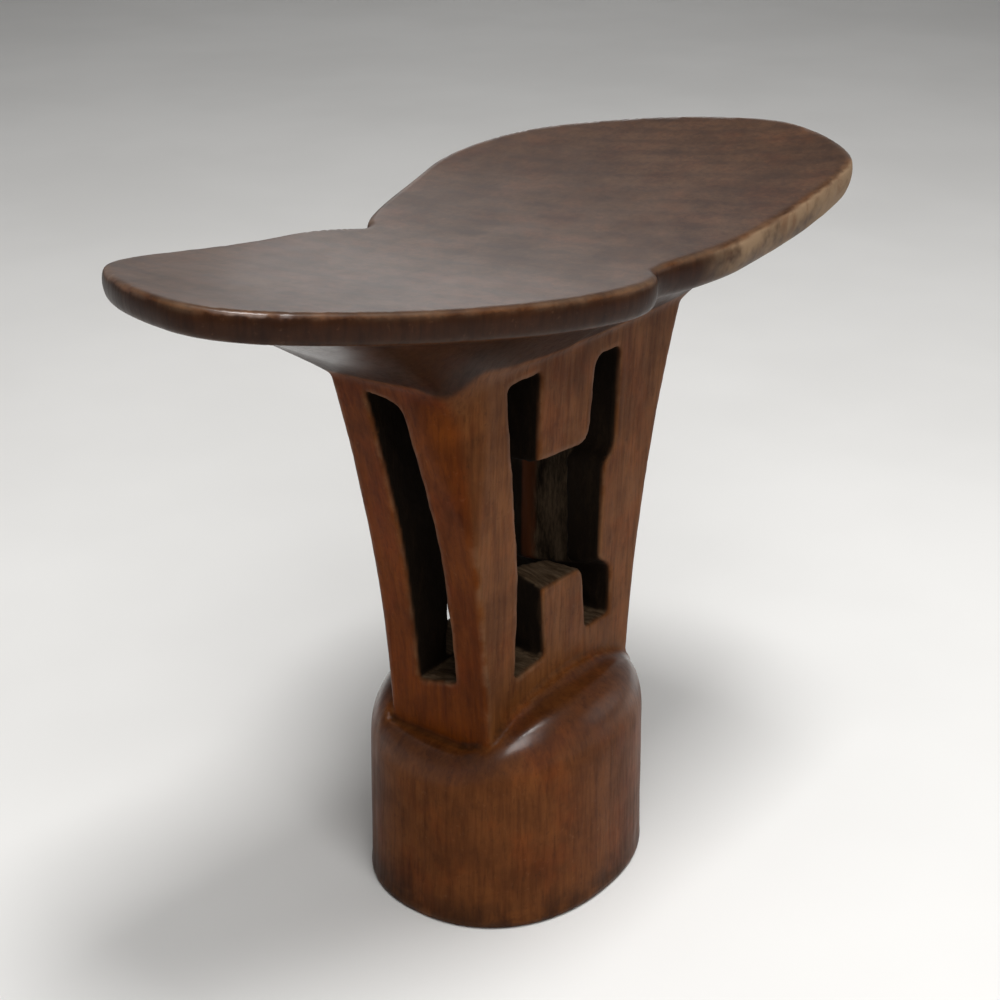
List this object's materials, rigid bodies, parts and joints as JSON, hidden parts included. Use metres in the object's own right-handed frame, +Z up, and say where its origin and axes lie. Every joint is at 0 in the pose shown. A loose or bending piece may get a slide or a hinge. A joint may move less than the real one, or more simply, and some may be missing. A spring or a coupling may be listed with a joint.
{
  "type": "carved headrest",
  "caption": "Carved wooden headrest: a dished two-lobed plate on a flared, pierced post that rises from a domed oval base.",
  "frame": {"origin": "centre of the post's axis on the flat underside of the base", "axes": "+Z up, +X along the length of the plate, +Y across it"},
  "size_m": [0.2183, 0.1061, 0.1864],
  "materials": {
    "wood": "hand-polished satin"
  },
  "bodies": {
    "root": {"headrest": "wood"}
  },
  "joints": []
}
